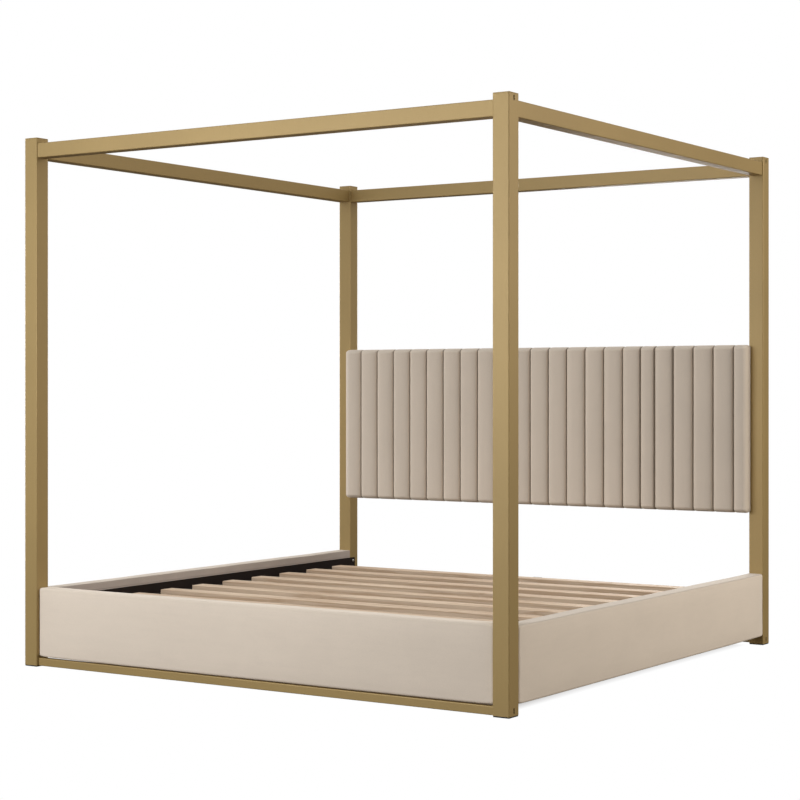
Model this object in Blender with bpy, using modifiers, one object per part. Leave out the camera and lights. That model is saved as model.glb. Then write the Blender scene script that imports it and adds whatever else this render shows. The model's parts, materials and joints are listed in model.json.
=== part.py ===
"""Four poster canopy bed, built as the separate pieces that it is bolted together from.

Metres, +Z up. The origin is on the floor under the middle of the bed. The foot end is at -Y, the
head end at +Y, and left and right are as seen from the foot end.
"""
import bpy
import bmesh

# Overall size, over the outer faces of the posts
BED_WIDTH = 2.120
BED_LENGTH = 2.135
BED_HEIGHT = 2.000

GAP = 0.0003            # left between two pieces that touch
OVERSHOOT = 0.010       # how far a cutter runs past the face that it opens

# Corner posts, square steel tube
POST_SIDE = 0.062
POST_WALL = 0.0015
POST_EDGE = 0.003       # radius of the rounded long edges
CAP_THICKNESS = 0.003
CAP_PLUG = 0.004
GLIDE_THICKNESS = 0.004
GLIDE_PLUG = 0.009
PLUG_FIT = 0.0008       # the plugs are this much smaller than the tube's inside, all round
SLOT_WIDTH = 0.007
SLOT_HEIGHT = 0.019
SLOT_FROM_END = 0.0165  # from the end of the bed's height to the middle of the slot

# Canopy rails, square steel tube with welded end plates
RAIL_WIDTH = 0.052
RAIL_HEIGHT = 0.055
RAIL_WALL = 0.0012
RAIL_PLATE = 0.003
RAIL_EDGE = 0.0025
RAIL_DROP = 0.021       # from the post tops down to the rail tops
RAIL_INSET = 0.004      # from the posts' outer faces in to the rails' outer faces

# Bolts between the posts and the canopy rails
BOLT_DIAMETER = 0.008
BOLT_HOLE = 0.009
BOLT_REACH = 0.020
BOLT_HEAD = 0.0150      # across the corners
BOLT_HEAD_HEIGHT = 0.0055

# Floor bars at the foot and the head
BAR_HEIGHT = 0.0295
BAR_DEPTH = 0.025
BAR_CLEARANCE = 0.0033  # over the floor
BAR_INSET = 0.010

# Slats
SLAT_TOP = 0.240
SLAT_THICKNESS = 0.020
SLAT_WIDTH = 0.070
SLAT_HALF_LENGTH = 0.930
SLAT_PITCH = 0.199
SLAT_COUNT = 9
SLAT_EDGE = 0.002

# Black steel side rails: an upright leg along the posts' inner faces and a ledge for the slats
STEEL = 0.0025
SIDE_RAIL_TOP = 0.258
SIDE_RAIL_BOTTOM = 0.198
SIDE_RAIL_HALF_LENGTH = 1.040
SIDE_RAIL_BOLT_Y = 1.0235   # distance of the bolt holes from the middle of the bed
LEDGE_WIDTH = 0.085
LEDGE_HALF_LENGTH = 0.985
RAIL_BOLT_HOLE = 0.007
RAIL_BOLT_SPACING = 0.030

# Padded side panels
SIDE_BOARD = 0.022
SIDE_PAD_PROUD = 0.0005  # past the posts' outer faces
SIDE_PAD_TOP = 0.292
SIDE_PAD_BOTTOM = 0.038
SIDE_END_GAP = 0.001

# Padded foot panel
FOOT_BOARD = 0.018
FOOT_BOARD_BACK = 1.000  # distance of the board's inner face from the middle of the bed
FOOT_PAD_INSET = 0.010   # from the posts' outer faces
FOOT_PAD_TOP = 0.298
FOOT_PAD_BOTTOM = 0.0385
FOOT_END_GAP = 0.004

# How far the boards stop short of their pads' edges
BOARD_BELOW_TOP = 0.030
BOARD_ABOVE_BOTTOM = 0.014
BOARD_FROM_END = 0.005

# Headboard
HEADBOARD_HALF_WIDTH = 1.007
HEADBOARD_BOTTOM = 0.540
HEADBOARD_TOP = 1.230
HEADBOARD_DEPTH = 0.048
HEADBOARD_BOARD = 0.012
HEADBOARD_MARGIN = 0.017  # padding past the board's edges
HEADBOARD_GAP = 0.0005    # to the posts
BRACKET_HEIGHT = 0.060
BRACKET_ON_POST = 0.043
BRACKET_ON_BOARD = 0.065
BRACKET_LEVELS = (0.660, 1.110)

# Cross rails, centre beam and its legs
BEAM_WIDTH = 0.040
BEAM_HEIGHT = 0.030
BEAM_WALL = 0.0015
BEAM_FOOT_END = -0.985
BEAM_HEAD_END = 1.018
CROSS_RAIL_DEPTH = 0.030
CROSS_RAIL_HEIGHT = 0.040
CROSS_RAIL_BEHIND = 0.003   # from the head posts' front faces back to the cross rail
FOOT_LEDGE_HALF_LENGTH = 0.905
FOOT_LEDGE_DEPTH = 0.055
FOOT_LEDGE_HEIGHT = 0.060
LEG_SIDE = 0.032
LEG_WALL = 0.0015
LEG_BOTTOM = 0.022
LEG_PLATE = 0.060
LEG_POSITIONS = (-0.597, 0.0, 0.597)
FOOT_RADIUS = 0.020
STEM_RADIUS = 0.004
STEM_TOP = 0.060
STEM_HOLE = 0.0088

# Derived places
HALF_WIDTH = BED_WIDTH / 2
HALF_LENGTH = BED_LENGTH / 2
INNER_X = HALF_WIDTH - POST_SIDE    # the posts' faces that look across the bed
INNER_Y = HALF_LENGTH - POST_SIDE   # the posts' faces that look along the bed
RAIL_TOP = BED_HEIGHT - RAIL_DROP
RAIL_MIDDLE = RAIL_TOP - RAIL_HEIGHT / 2
RAIL_X = HALF_WIDTH - RAIL_INSET - RAIL_WIDTH / 2   # middle lines of the canopy rails
RAIL_Y = HALF_LENGTH - RAIL_INSET - RAIL_WIDTH / 2
SLAT_BOTTOM = SLAT_TOP - SLAT_THICKNESS
LEDGE_TOP = SLAT_BOTTOM - GAP
BEAM_BOTTOM = LEDGE_TOP - BEAM_HEIGHT
SUPPORT_TOP = BEAM_BOTTOM - GAP

SIDES = {"left": -1, "right": 1}
ENDS = {"foot": -1, "head": 1}

for old in list(bpy.data.objects):
    bpy.data.objects.remove(old, do_unlink=True)


def new_collection(name):
    """Make a collection in the scene and return it."""
    collection = bpy.data.collections.new(name)
    bpy.context.scene.collection.children.link(collection)
    return collection


PARTS = new_collection("four_poster_canopy_bed")
CUTTERS = new_collection("cutters")

ORIGIN = bpy.data.objects.new("bed_origin", None)
PARTS.objects.link(ORIGIN)


def make_material(name, colour, roughness, metallic):
    """Return a Principled material with the part's colour and finish."""
    material = bpy.data.materials.new(name)
    material.use_nodes = True
    shader = material.node_tree.nodes["Principled BSDF"]
    shader.inputs["Base Color"].default_value = (*colour, 1.0)
    shader.inputs["Roughness"].default_value = roughness
    shader.inputs["Metallic"].default_value = metallic
    return material


GOLD = make_material("gold_paint", (0.38, 0.26, 0.10), 0.45, 0.35)
BLACK_STEEL = make_material("black_steel", (0.02, 0.018, 0.016), 0.55, 0.3)
ZINC = make_material("zinc_steel", (0.55, 0.55, 0.53), 0.35, 1.0)
VELVET = make_material("cream_velvet", (0.58, 0.51, 0.43), 0.9, 0.0)
PLYWOOD = make_material("plywood", (0.50, 0.34, 0.19), 0.7, 0.0)
PINE = make_material("pine", (0.60, 0.43, 0.27), 0.6, 0.0)
BLACK_PLASTIC = make_material("black_plastic", (0.02, 0.02, 0.02), 0.5, 0.0)


def place(name, mesh, material, centre):
    """Put a mesh in the scene as one of the bed's parts."""
    part = bpy.data.objects.new(name, mesh)
    part.location = centre
    part.parent = ORIGIN
    mesh.materials.append(material)
    PARTS.objects.link(part)
    return part


def make_cutter(name, mesh, centre):
    """Put a mesh in the scene as a cutter."""
    cutter = bpy.data.objects.new(name, mesh)
    cutter.location = centre
    cutter.hide_render = True
    cutter.display_type = "WIRE"
    CUTTERS.objects.link(cutter)
    return cutter


def box_mesh(name, low, high, radius=0.0, along=None, segments=2):
    """Return the mesh of a box about its own middle, and that middle.

    With a radius, the edges that run along the axis number in along are rounded, or all
    of them when along is None.
    """
    size = [top - bottom for bottom, top in zip(low, high)]
    centre = [(top + bottom) / 2 for bottom, top in zip(low, high)]
    shape = bmesh.new()
    bmesh.ops.create_cube(shape, size=1.0)
    bmesh.ops.scale(shape, vec=size, verts=shape.verts)
    if radius:
        edges = []
        for edge in shape.edges:
            run = edge.verts[0].co - edge.verts[1].co
            if along is None or abs(run[along]) > GAP:
                edges.append(edge)
        bmesh.ops.bevel(shape, geom=edges, offset=radius, segments=segments, profile=0.5,
                        affect="EDGES")
    mesh = bpy.data.meshes.new(name)
    shape.to_mesh(mesh)
    shape.free()
    return mesh, centre


def box(name, low, high, material, **rounding):
    """Add a box that runs from its low corner to its high corner."""
    mesh, centre = box_mesh(name, low, high, **rounding)
    return place(name, mesh, material, centre)


def rod_mesh(name, diameter, start, length, axis, segments=16):
    """Return the mesh of a round rod along an axis number, and its middle."""
    shape = bmesh.new()
    bmesh.ops.create_cone(shape, cap_ends=True, segments=segments, radius1=diameter / 2,
                          radius2=diameter / 2, depth=abs(length))
    for vertex in shape.verts:
        x, y, z = vertex.co
        vertex.co = ((z, x, y), (y, z, x), (x, y, z))[axis]
    mesh = bpy.data.meshes.new(name)
    shape.to_mesh(mesh)
    shape.free()
    centre = list(start)
    centre[axis] += length / 2
    return mesh, centre


def boolean(part, other, operation):
    """Add one Boolean step to a part."""
    step = part.modifiers.new(other.name, "BOOLEAN")
    step.operation = operation
    step.solver = "EXACT"
    step.object = other


def cut_box(part, low, high, **rounding):
    """Cut a box out of a part."""
    name = "cut_{}_{}".format(part.name, len(part.modifiers))
    mesh, centre = box_mesh(name, low, high, **rounding)
    boolean(part, make_cutter(name, mesh, centre), "DIFFERENCE")


def add_box(part, low, high, **rounding):
    """Join a box to a part."""
    name = "add_{}_{}".format(part.name, len(part.modifiers))
    mesh, centre = box_mesh(name, low, high, **rounding)
    boolean(part, make_cutter(name, mesh, centre), "UNION")


def cut_rod(part, diameter, start, length, axis, segments=16):
    """Cut a round hole in a part."""
    name = "cut_{}_{}".format(part.name, len(part.modifiers))
    mesh, centre = rod_mesh(name, diameter, start, length, axis, segments)
    boolean(part, make_cutter(name, mesh, centre), "DIFFERENCE")


def span(one, other):
    """Return two values in rising order, to build boxes on either side of the middle."""
    return min(one, other), max(one, other)


def corner_middle(side, end):
    """Return the middle of a post in plan."""
    x = side * (HALF_WIDTH - POST_SIDE / 2)
    y = end * (HALF_LENGTH - POST_SIDE / 2)
    return x, y


def square_about(x, y, side, bottom, top):
    """Return the corners of an upright square prism about a point in plan."""
    half = side / 2
    return (x - half, y - half, bottom), (x + half, y + half, top)


def add_post(name, side, end):
    """Add a corner post: an open square tube with a slot near each end of its outer face."""
    x, y = corner_middle(side, end)
    bottom = GLIDE_THICKNESS + GAP
    top = BED_HEIGHT - CAP_THICKNESS - GAP
    low, high = square_about(x, y, POST_SIDE, bottom, top)
    post = box(name, low, high, GOLD, radius=POST_EDGE, along=2)
    inside = POST_SIDE - 2 * POST_WALL
    low, high = square_about(x, y, inside, bottom - OVERSHOOT, top + OVERSHOOT)
    cut_box(post, low, high)
    x_low, x_high = span(side * (HALF_WIDTH - 2 * POST_WALL), side * (HALF_WIDTH + OVERSHOOT))
    for middle in (SLOT_FROM_END + GLIDE_THICKNESS, BED_HEIGHT - SLOT_FROM_END):
        low = (x_low, y - SLOT_WIDTH / 2, middle - SLOT_HEIGHT / 2)
        high = (x_high, y + SLOT_WIDTH / 2, middle + SLOT_HEIGHT / 2)
        cut_box(post, low, high, radius=SLOT_WIDTH * 0.45, along=0)
    reach = 2 * OVERSHOOT
    across = (side * (INNER_X + OVERSHOOT), end * RAIL_Y, RAIL_MIDDLE)
    cut_rod(post, BOLT_HOLE, across, -side * reach, 0)
    along = (side * RAIL_X, end * (INNER_Y + OVERSHOOT), RAIL_MIDDLE)
    cut_rod(post, BOLT_HOLE, along, -end * reach, 1)


def add_post_cap(name, side, end):
    """Add the flat cap that closes the top of a post."""
    x, y = corner_middle(side, end)
    low, high = square_about(x, y, POST_SIDE, BED_HEIGHT - CAP_THICKNESS, BED_HEIGHT)
    cap = box(name, low, high, GOLD, radius=POST_EDGE, along=2)
    plug = POST_SIDE - 2 * POST_WALL - 2 * PLUG_FIT
    plug_top = BED_HEIGHT - CAP_THICKNESS / 2
    low, high = square_about(x, y, plug, BED_HEIGHT - CAP_THICKNESS - CAP_PLUG, plug_top)
    add_box(cap, low, high)


def add_glide(name, side, end):
    """Add the plastic glide under a post."""
    x, y = corner_middle(side, end)
    low, high = square_about(x, y, POST_SIDE - POST_WALL, 0.0, GLIDE_THICKNESS)
    glide = box(name, low, high, BLACK_PLASTIC, radius=POST_EDGE, along=2)
    plug = POST_SIDE - 2 * POST_WALL - 2 * PLUG_FIT
    low, high = square_about(x, y, plug, GLIDE_THICKNESS / 2, GLIDE_THICKNESS + GLIDE_PLUG)
    add_box(glide, low, high)


def add_canopy_rail(name, low, high, axis):
    """Add a canopy rail: a tube closed by end plates that each have a bolt hole."""
    rail = box(name, low, high, GOLD, radius=RAIL_EDGE, along=axis)
    wall = [RAIL_WALL] * 3
    wall[axis] = RAIL_PLATE
    inner_low = [value + step for value, step in zip(low, wall)]
    inner_high = [value - step for value, step in zip(high, wall)]
    cut_box(rail, inner_low, inner_high)
    start = [(bottom + top) / 2 for bottom, top in zip(low, high)]
    start[axis] = low[axis] - OVERSHOOT
    cut_rod(rail, BOLT_HOLE, start, high[axis] - low[axis] + 2 * OVERSHOOT, axis)


def add_canopy_rails():
    """Add the four rails of the canopy."""
    bottom = RAIL_TOP - RAIL_HEIGHT
    for end_name, end in ENDS.items():
        outer = end * (HALF_LENGTH - RAIL_INSET)
        y_low, y_high = span(outer, outer - end * RAIL_WIDTH)
        low = (-INNER_X + GAP, y_low, bottom)
        high = (INNER_X - GAP, y_high, RAIL_TOP)
        add_canopy_rail(end_name + "_canopy_rail", low, high, 0)
    for side_name, side in SIDES.items():
        outer = side * (HALF_WIDTH - RAIL_INSET)
        x_low, x_high = span(outer, outer - side * RAIL_WIDTH)
        low = (x_low, -INNER_Y + GAP, bottom)
        high = (x_high, INNER_Y - GAP, RAIL_TOP)
        add_canopy_rail(side_name + "_canopy_rail", low, high, 1)


def add_bolt(name, start, direction, axis):
    """Add a hexagon bolt whose head lies on the inside of a post's wall."""
    head_start = list(start)
    head_start[axis] -= direction * GAP
    mesh, centre = rod_mesh(name, BOLT_HEAD, head_start, -direction * BOLT_HEAD_HEIGHT, axis, 6)
    bolt = place(name, mesh, ZINC, centre)
    shank_start = list(start)
    shank_start[axis] -= direction * BOLT_HEAD_HEIGHT / 2
    length = direction * (BOLT_REACH + BOLT_HEAD_HEIGHT / 2)
    mesh, centre = rod_mesh("add_" + name, BOLT_DIAMETER, shank_start, length, axis)
    boolean(bolt, make_cutter("add_" + name, mesh, centre), "UNION")


def add_canopy_bolts(corner, side, end):
    """Add the two bolts of one corner, reached through the open top of the post."""
    across = (side * (INNER_X + POST_WALL), end * RAIL_Y, RAIL_MIDDLE)
    add_bolt(corner + "_bolt_across", across, -side, 0)
    along = (side * RAIL_X, end * (INNER_Y + POST_WALL), RAIL_MIDDLE)
    add_bolt(corner + "_bolt_along", along, -end, 1)


def add_floor_bar(name, end):
    """Add the low bar between the two posts of one end."""
    outer = end * (HALF_LENGTH - BAR_INSET)
    y_low, y_high = span(outer, outer - end * BAR_DEPTH)
    low = (-INNER_X + GAP, y_low, BAR_CLEARANCE)
    high = (INNER_X - GAP, y_high, BAR_CLEARANCE + BAR_HEIGHT)
    bar = box(name, low, high, GOLD, radius=RAIL_EDGE, along=0)
    low = (-INNER_X - OVERSHOOT, y_low + RAIL_WALL, BAR_CLEARANCE + RAIL_WALL)
    high = (INNER_X + OVERSHOOT, y_high - RAIL_WALL, BAR_CLEARANCE + BAR_HEIGHT - RAIL_WALL)
    cut_box(bar, low, high)


def add_side_panel(side_name, side):
    """Add a side panel: a board, and its padding with a pocket for the board."""
    inner = side * INNER_X
    board_outer = side * (INNER_X + SIDE_BOARD)
    half = INNER_Y - SIDE_END_GAP
    x_low, x_high = span(inner, board_outer)
    low = (x_low, -half + BOARD_FROM_END, SIDE_PAD_BOTTOM + BOARD_ABOVE_BOTTOM)
    high = (x_high, half - BOARD_FROM_END, SIDE_PAD_TOP - BOARD_BELOW_TOP)
    box(side_name + "_side_board", low, high, PLYWOOD)
    pocket_low = [value - GAP for value in low]
    pocket_high = [value + GAP for value in high]
    pocket_x = span(side * (INNER_X - OVERSHOOT), side * (INNER_X + SIDE_BOARD + GAP))
    pocket_low[0], pocket_high[0] = pocket_x
    x_low, x_high = span(inner, side * (HALF_WIDTH + SIDE_PAD_PROUD))
    low = (x_low, -half, SIDE_PAD_BOTTOM)
    high = (x_high, half, SIDE_PAD_TOP)
    pad = box(side_name + "_side_pad", low, high, VELVET)
    cut_box(pad, pocket_low, pocket_high)


def add_foot_panel():
    """Add the foot panel: a board, and its padding with a pocket for the board."""
    half = INNER_X - FOOT_END_GAP
    back = -FOOT_BOARD_BACK
    low = (-half + BOARD_FROM_END, back - FOOT_BOARD, FOOT_PAD_BOTTOM + BOARD_ABOVE_BOTTOM)
    high = (half - BOARD_FROM_END, back, FOOT_PAD_TOP - BOARD_BELOW_TOP)
    box("foot_board", low, high, PLYWOOD)
    pocket_low = [value - GAP for value in low]
    pocket_high = [value + GAP for value in high]
    pocket_high[1] = back + OVERSHOOT
    low = (-half, -HALF_LENGTH + FOOT_PAD_INSET, FOOT_PAD_BOTTOM)
    high = (half, back, FOOT_PAD_TOP)
    pad = box("foot_pad", low, high, VELVET)
    cut_box(pad, pocket_low, pocket_high)


def add_side_rail(name, side):
    """Add a black steel rail: an upright leg bolted to the posts, and a ledge for the slats."""
    outer = side * (INNER_X - GAP)
    inner = outer - side * STEEL
    x_low, x_high = span(outer, inner)
    low = (x_low, -SIDE_RAIL_HALF_LENGTH, SIDE_RAIL_BOTTOM)
    high = (x_high, SIDE_RAIL_HALF_LENGTH, SIDE_RAIL_TOP)
    rail = box(name, low, high, BLACK_STEEL)
    x_low, x_high = span(outer - side * STEEL / 2, inner - side * LEDGE_WIDTH)
    add_box(rail, (x_low, -LEDGE_HALF_LENGTH, LEDGE_TOP - STEEL), (x_high, LEDGE_HALF_LENGTH, LEDGE_TOP))
    middle = (SIDE_RAIL_TOP + SIDE_RAIL_BOTTOM) / 2
    for end in ENDS.values():
        y = end * SIDE_RAIL_BOLT_Y
        for step in (-0.5, 0.5):
            start = (side * (INNER_X + OVERSHOOT), y, middle + step * RAIL_BOLT_SPACING)
            cut_rod(rail, RAIL_BOLT_HOLE, start, -side * 2 * OVERSHOOT, 0, 12)


def add_slats():
    """Add the slats that lie across the bed."""
    for index in range(SLAT_COUNT):
        y = (index - (SLAT_COUNT - 1) / 2) * SLAT_PITCH
        low = (-SLAT_HALF_LENGTH, y - SLAT_WIDTH / 2, SLAT_BOTTOM)
        high = (SLAT_HALF_LENGTH, y + SLAT_WIDTH / 2, SLAT_TOP)
        box("slat_{}".format(index + 1), low, high, PINE, radius=SLAT_EDGE)


def add_headboard():
    """Add the headboard's board, and its padding with a pocket for the board."""
    back = INNER_Y - HEADBOARD_GAP
    half = HEADBOARD_HALF_WIDTH - HEADBOARD_MARGIN
    low = (-half, back - HEADBOARD_BOARD, HEADBOARD_BOTTOM + HEADBOARD_MARGIN)
    high = (half, back, HEADBOARD_TOP - HEADBOARD_MARGIN)
    box("headboard_board", low, high, PLYWOOD)
    pocket_low = [value - GAP for value in low]
    pocket_high = [value + GAP for value in high]
    pocket_high[1] = back + OVERSHOOT
    low = (-HEADBOARD_HALF_WIDTH, back - HEADBOARD_DEPTH, HEADBOARD_BOTTOM)
    high = (HEADBOARD_HALF_WIDTH, back, HEADBOARD_TOP)
    pad = box("headboard_pad", low, high, VELVET)
    cut_box(pad, pocket_low, pocket_high)


def add_headboard_brackets():
    """Add the angle brackets that hold the headboard to the inner faces of the head posts."""
    front = INNER_Y - HEADBOARD_GAP + GAP
    for side_name, side in SIDES.items():
        outer = side * (INNER_X - GAP)
        inner = outer - side * STEEL
        for level_name, level in zip(("lower", "upper"), BRACKET_LEVELS):
            bottom = level - BRACKET_HEIGHT / 2
            top = level + BRACKET_HEIGHT / 2
            x_low, x_high = span(outer, inner)
            name = "{}_{}_headboard_bracket".format(side_name, level_name)
            low = (x_low, front, bottom)
            high = (x_high, front + BRACKET_ON_POST, top)
            bracket = box(name, low, high, BLACK_STEEL)
            x_low, x_high = span(outer - side * STEEL / 2, outer - side * BRACKET_ON_BOARD)
            add_box(bracket, (x_low, front, bottom), (x_high, front + STEEL, top))
            on_post = (side * (INNER_X + OVERSHOOT), front + BRACKET_ON_POST * 0.6, level)
            cut_rod(bracket, RAIL_BOLT_HOLE, on_post, -side * 2 * OVERSHOOT, 0, 12)
            on_board = (outer - side * BRACKET_ON_BOARD * 0.6, front - OVERSHOOT, level)
            cut_rod(bracket, RAIL_BOLT_HOLE, on_board, 2 * OVERSHOOT, 1, 12)


def add_cross_rails():
    """Add the steel ledge behind the foot panel and the cross rail between the head posts."""
    front = -FOOT_BOARD_BACK + GAP
    low = (-FOOT_LEDGE_HALF_LENGTH, front, SUPPORT_TOP - FOOT_LEDGE_HEIGHT)
    high = (FOOT_LEDGE_HALF_LENGTH, front + STEEL, SUPPORT_TOP)
    ledge = box("foot_ledge", low, high, BLACK_STEEL)
    low = (-FOOT_LEDGE_HALF_LENGTH, front + STEEL / 2, SUPPORT_TOP - STEEL)
    high = (FOOT_LEDGE_HALF_LENGTH, front + FOOT_LEDGE_DEPTH, SUPPORT_TOP)
    add_box(ledge, low, high)
    front = INNER_Y + CROSS_RAIL_BEHIND
    low = (-INNER_X + GAP, front, SUPPORT_TOP - CROSS_RAIL_HEIGHT)
    high = (INNER_X - GAP, front + CROSS_RAIL_DEPTH, SUPPORT_TOP)
    rail = box("head_cross_rail", low, high, BLACK_STEEL, radius=RAIL_WALL, along=0)
    low = (low[0] - OVERSHOOT, low[1] + BEAM_WALL, low[2] + BEAM_WALL)
    high = (high[0] + OVERSHOOT, high[1] - BEAM_WALL, high[2] - BEAM_WALL)
    cut_box(rail, low, high)


def add_centre_beam():
    """Add the tube under the middle of the slats."""
    half = BEAM_WIDTH / 2
    low = (-half, BEAM_FOOT_END, BEAM_BOTTOM)
    high = (half, BEAM_HEAD_END, LEDGE_TOP)
    beam = box("centre_beam", low, high, BLACK_STEEL, radius=RAIL_WALL, along=1)
    low = (-half + BEAM_WALL, BEAM_FOOT_END - OVERSHOOT, BEAM_BOTTOM + BEAM_WALL)
    high = (half - BEAM_WALL, BEAM_HEAD_END + OVERSHOOT, LEDGE_TOP - BEAM_WALL)
    cut_box(beam, low, high)


def add_centre_leg(name, y):
    """Add a leg under the centre beam, with a top plate and a hole for its screw foot."""
    low, high = square_about(0.0, y, LEG_SIDE, LEG_BOTTOM, SUPPORT_TOP - STEEL / 2)
    leg = box(name, low, high, BLACK_STEEL, radius=RAIL_WALL, along=2)
    low, high = square_about(0.0, y, LEG_PLATE, SUPPORT_TOP - STEEL, SUPPORT_TOP)
    add_box(leg, low, high)
    low, high = square_about(0.0, y, LEG_SIDE - 2 * LEG_WALL, LEG_BOTTOM + STEEL, SUPPORT_TOP - STEEL)
    cut_box(leg, low, high)
    cut_rod(leg, STEM_HOLE, (0.0, y, LEG_BOTTOM - OVERSHOOT), 2 * OVERSHOOT, 2)


def add_screw_foot(name, y):
    """Add a screw foot, a turned piece about the axis that it moves along."""
    rim = FOOT_RADIUS * 0.95
    profile = (
        (0.0, STEM_TOP),
        (STEM_RADIUS, STEM_TOP),
        (STEM_RADIUS, 0.0100),
        (STEM_RADIUS * 1.6, 0.0100),
        (FOOT_RADIUS * 0.9, 0.0075),
        (FOOT_RADIUS, 0.0060),
        (FOOT_RADIUS, 0.0012),
        (rim, 0.0),
        (0.0, 0.0),
    )
    mesh = bpy.data.meshes.new(name)
    edges = [(index, index + 1) for index in range(len(profile) - 1)]
    mesh.from_pydata([(radius, 0.0, height) for radius, height in profile], edges, [])
    foot = place(name, mesh, BLACK_PLASTIC, (0.0, y, 0.0))
    turn = foot.modifiers.new("turn", "SCREW")
    turn.axis = "Z"
    turn.steps = 20
    turn.render_steps = 20
    turn.use_merge_vertices = True
    turn.merge_threshold = 0.00005


def build():
    """Build the whole bed."""
    for end_name, end in ENDS.items():
        for side_name, side in SIDES.items():
            corner = "{}_{}".format(end_name, side_name)
            add_post(corner + "_post", side, end)
            add_post_cap(corner + "_post_cap", side, end)
            add_glide(corner + "_glide", side, end)
            add_canopy_bolts(corner, side, end)
        add_floor_bar(end_name + "_floor_bar", end)
    add_canopy_rails()
    for side_name, side in SIDES.items():
        add_side_panel(side_name, side)
        add_side_rail(side_name + "_side_rail", side)
    add_foot_panel()
    add_headboard()
    add_headboard_brackets()
    add_slats()
    add_cross_rails()
    add_centre_beam()
    for index, y in enumerate(LEG_POSITIONS):
        add_centre_leg("centre_leg_{}".format(index + 1), y)
        add_screw_foot("screw_foot_{}".format(index + 1), y)


build()
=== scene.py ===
import json
import math

import bmesh
import bpy
import numpy as np
from mathutils import Matrix, Vector


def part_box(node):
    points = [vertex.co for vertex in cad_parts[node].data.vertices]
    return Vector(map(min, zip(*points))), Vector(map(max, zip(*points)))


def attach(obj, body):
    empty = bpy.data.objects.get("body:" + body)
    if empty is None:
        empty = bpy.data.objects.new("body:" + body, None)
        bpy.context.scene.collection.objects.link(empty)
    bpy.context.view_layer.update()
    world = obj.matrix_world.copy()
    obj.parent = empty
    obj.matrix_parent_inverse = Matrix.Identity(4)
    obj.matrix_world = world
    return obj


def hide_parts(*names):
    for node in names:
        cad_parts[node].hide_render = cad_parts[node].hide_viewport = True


bl_info = {
    "name": "Canopy Bed Finishes",
    "version": (1, 0, 0),
    "blender": (4, 5, 0),
    "location": "3D View > Sidebar > Canopy Bed",
    "description": "Paint, upholstery, wood and small fittings of a four poster canopy bed",
    "category": "Object",
}

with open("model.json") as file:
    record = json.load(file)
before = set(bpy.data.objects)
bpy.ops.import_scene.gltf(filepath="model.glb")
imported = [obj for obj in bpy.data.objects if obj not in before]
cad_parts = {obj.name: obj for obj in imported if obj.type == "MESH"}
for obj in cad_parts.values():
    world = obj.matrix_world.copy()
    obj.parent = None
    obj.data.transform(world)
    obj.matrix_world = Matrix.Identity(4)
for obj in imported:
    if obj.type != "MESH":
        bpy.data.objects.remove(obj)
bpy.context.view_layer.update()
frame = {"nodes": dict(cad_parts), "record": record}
BODY = "bed"
SIDES = {"left": -1.0, "right": 1.0}
SEED = 7

BOARD_GAP = 0.0004  # between a board and the pocket that holds it
SCREW_THREAD = 0.006
STAPLE_LENGTH, STAPLE_WIRE, STAPLE_PITCH = 0.010, 0.0012, 0.045
SWELL_FRAMES = 8
# where lines cross a channel, as shares of its width, closer together at its seams
CHANNEL_LINES = (
    0.0, 0.012, 0.03, 0.06, 0.1, 0.16, 0.24, 0.34, 0.44, 0.5,
    0.56, 0.66, 0.76, 0.84, 0.9, 0.94, 0.97, 0.988,
)


# ------------------------------------------------------------------ shader maths


class Value:
    """One socket of a shader, which takes part in ordinary arithmetic."""

    def __init__(self, shader, socket):
        self.shader = shader
        self.socket = socket

    def maths(self, operation, *terms):
        """A Math node on these terms, in this order."""
        return self.shader.node(
            "ShaderNodeMath", {"operation": operation}, dict(enumerate(terms))
        )

    def __add__(self, other):
        return self.maths("ADD", self, other)

    def __radd__(self, other):
        return self.maths("ADD", other, self)

    def __sub__(self, other):
        return self.maths("SUBTRACT", self, other)

    def __rsub__(self, other):
        return self.maths("SUBTRACT", other, self)

    def __mul__(self, other):
        return self.maths("MULTIPLY", self, other)

    def __rmul__(self, other):
        return self.maths("MULTIPLY", other, self)

    def __truediv__(self, other):
        return self.maths("DIVIDE", self, other)

    def __rtruediv__(self, other):
        return self.maths("DIVIDE", other, self)

    def floor(self):
        """The whole number below the value."""
        return self.maths("FLOOR", self)

    def size(self):
        """The value without its sign."""
        return self.maths("ABSOLUTE", self)


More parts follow.
